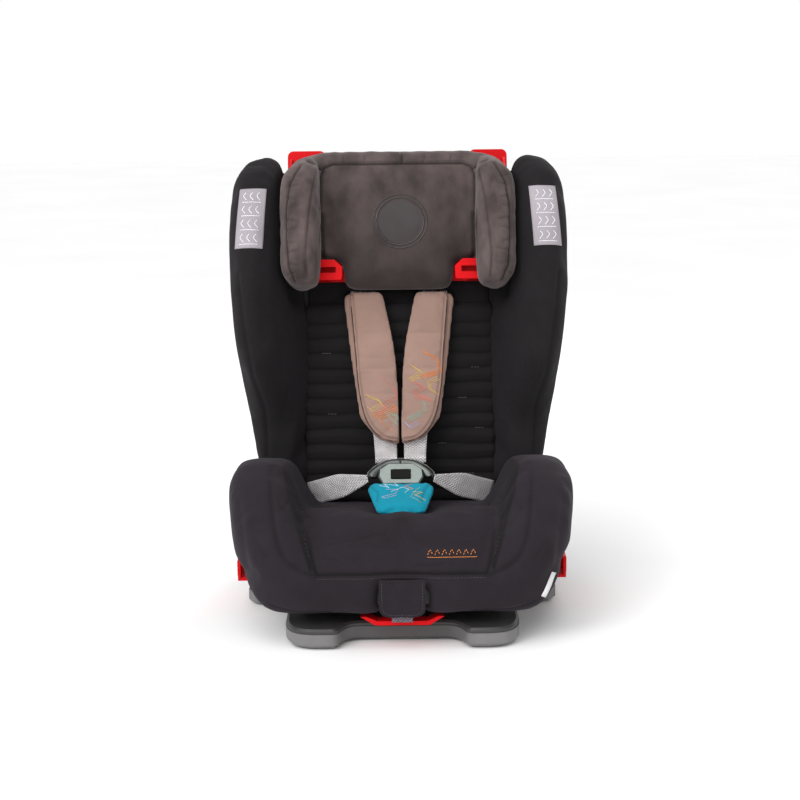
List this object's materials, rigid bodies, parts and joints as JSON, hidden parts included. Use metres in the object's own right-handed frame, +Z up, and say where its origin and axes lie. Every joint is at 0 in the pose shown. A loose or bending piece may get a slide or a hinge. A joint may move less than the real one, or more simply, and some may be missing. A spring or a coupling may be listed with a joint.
{
  "type": "child car seat",
  "caption": "Forward-facing child car seat with a padded bucket, deep side wings, sliding winged headrest, five-point harness and a low recline base.",
  "frame": {"origin": "on the floor, under the middle of the seat's overall box", "axes": "+Z up, -Y the way the sitter faces, +X to the right of someone in front looking at the seat"},
  "size_m": [0.5, 0.4961, 0.6604],
  "materials": {
    "base_plastic": "moulded, fine texture",
    "black_plastic": "moulded, fine texture",
    "red_plastic": "smooth, semi-gloss",
    "steel": "zinc plated",
    "buckle_metal": "metallic grey-green, satin",
    "rubber": "matte",
    "foam": "expanded foam",
    "black_fabric": "knitted, matte",
    "velour": "short-pile velour",
    "beige_fabric": "soft knitted, embroidered",
    "turquoise_fabric": "soft knitted, embroidered",
    "grey_webbing": "woven webbing"
  },
  "bodies": {
    "base": {"foot_pads": "rubber", "base_tray": "base_plastic", "base_cover": "base_plastic", "base_screws": "steel", "base_sides": "base_plastic", "recline_rails": "black_plastic", "recline_rack": "steel"},
    "seat": {"seat_shell": "black_plastic", "seat_foam": "foam", "front_pad": "black_fabric", "seat_cushion": "black_fabric", "hinge_rod": "steel", "slide_shoes": "black_plastic", "crotch_anchor": "steel", "adjuster_housing": "black_plastic", "adjuster_strap": "grey_webbing", "harness_yoke": "steel", "crotch_strap": "grey_webbing", "crotch_pad": "turquoise_fabric", "buckle_housing": "buckle_metal", "back_shell": "black_plastic", "back_screws": "steel", "back_cushion": "black_fabric", "headrest_racks": "steel", "rod_guides": "black_plastic", "rear_cover": "black_plastic", "arm_pad_left": "black_fabric", "arm_pad_right": "black_fabric", "arm_foam_left": "foam", "arm_foam_right": "foam", "lap_guide_left": "red_plastic", "lap_guide_right": "red_plastic", "shoulder_strap_left": "grey_webbing", "shoulder_strap_right": "grey_webbing", "shoulder_pad_left": "beige_fabric", "shoulder_pad_right": "beige_fabric", "buckle_tongue_left": "buckle_metal", "buckle_tongue_right": "buckle_metal", "lap_strap_left": "grey_webbing", "lap_strap_right": "grey_webbing", "wing_shell_left": "black_plastic", "wing_shell_right": "black_plastic", "wing_pad_left": "black_fabric", "wing_pad_right": "black_fabric"},
    "headrest": {"headrest_shell": "red_plastic", "head_pad": "velour", "head_side_pad_left": "velour", "head_side_pad_right": "velour", "belt_guide_left": "red_plastic", "belt_guide_right": "red_plastic", "headrest_carriage": "black_plastic", "headrest_rods": "steel"},
    "headrest_release": {"release_handle": "red_plastic"},
    "headrest_latch": {"latch_bar": "steel"},
    "recline_pull": {"recline_handle": "red_plastic", "pull_strip": "steel"},
    "recline_latch": {"locking_pin": "steel"},
    "buckle_release": {"buckle_button": "black_plastic"},
    "adjuster": {"adjuster_lever": "red_plastic"},
    "flap": {"adjuster_flap": "black_fabric"}
  },
  "joints": [
    {"name": "recline", "type": "hinge", "parent": "base", "child": "seat", "pos_m": [0, 0.02, 0.38], "axis": [-1, 0, 0], "range_deg": [0, 14]},
    {"name": "headrest_height", "type": "slide", "parent": "seat", "child": "headrest", "axis": [0, 0.2588, 0.9659], "range_m": [0, 0.15]},
    {"name": "headrest_release", "type": "slide", "parent": "headrest", "child": "headrest_release", "axis": [0, 0.2588, 0.9659], "range_m": [0, 0.012], "stiffness_N_per_m": 600, "springref_m": -0.004},
    {"name": "headrest_latch", "type": "slide", "parent": "headrest", "child": "headrest_latch", "axis": [0, 0.9659, -0.2588], "range_m": [0, 0.0055]},
    {"name": "recline_pull", "type": "slide", "parent": "seat", "child": "recline_pull", "axis": [0, -1, 0], "range_m": [0, 0.015], "stiffness_N_per_m": 500, "springref_m": -0.004},
    {"name": "recline_latch", "type": "slide", "parent": "seat", "child": "recline_latch", "axis": [0, 0, 1], "range_m": [0, 0.008]},
    {"name": "buckle_press", "type": "slide", "parent": "seat", "child": "buckle_release", "axis": [0, 0.6691, -0.7431], "range_m": [0, 0.003], "stiffness_N_per_m": 1500, "springref_m": -0.001},
    {"name": "adjuster_press", "type": "hinge", "parent": "seat", "child": "adjuster", "pos_m": [0, -0.236, 0.088], "axis": [1, 0, 0], "range_deg": [0, 6], "stiffness_Nm_per_rad": 0.6, "springref_deg": -2.86},
    {"name": "flap_lift", "type": "hinge", "parent": "seat", "child": "flap", "pos_m": [0, -0.2444, 0.103], "axis": [-1, 0, 0], "range_deg": [0, 100]}
  ],
  "couplings": [
    {"joint": "headrest_latch", "follows": "headrest_release", "ratio": 0.45},
    {"joint": "recline_latch", "follows": "recline_pull", "ratio": 0.5333}
  ]
}
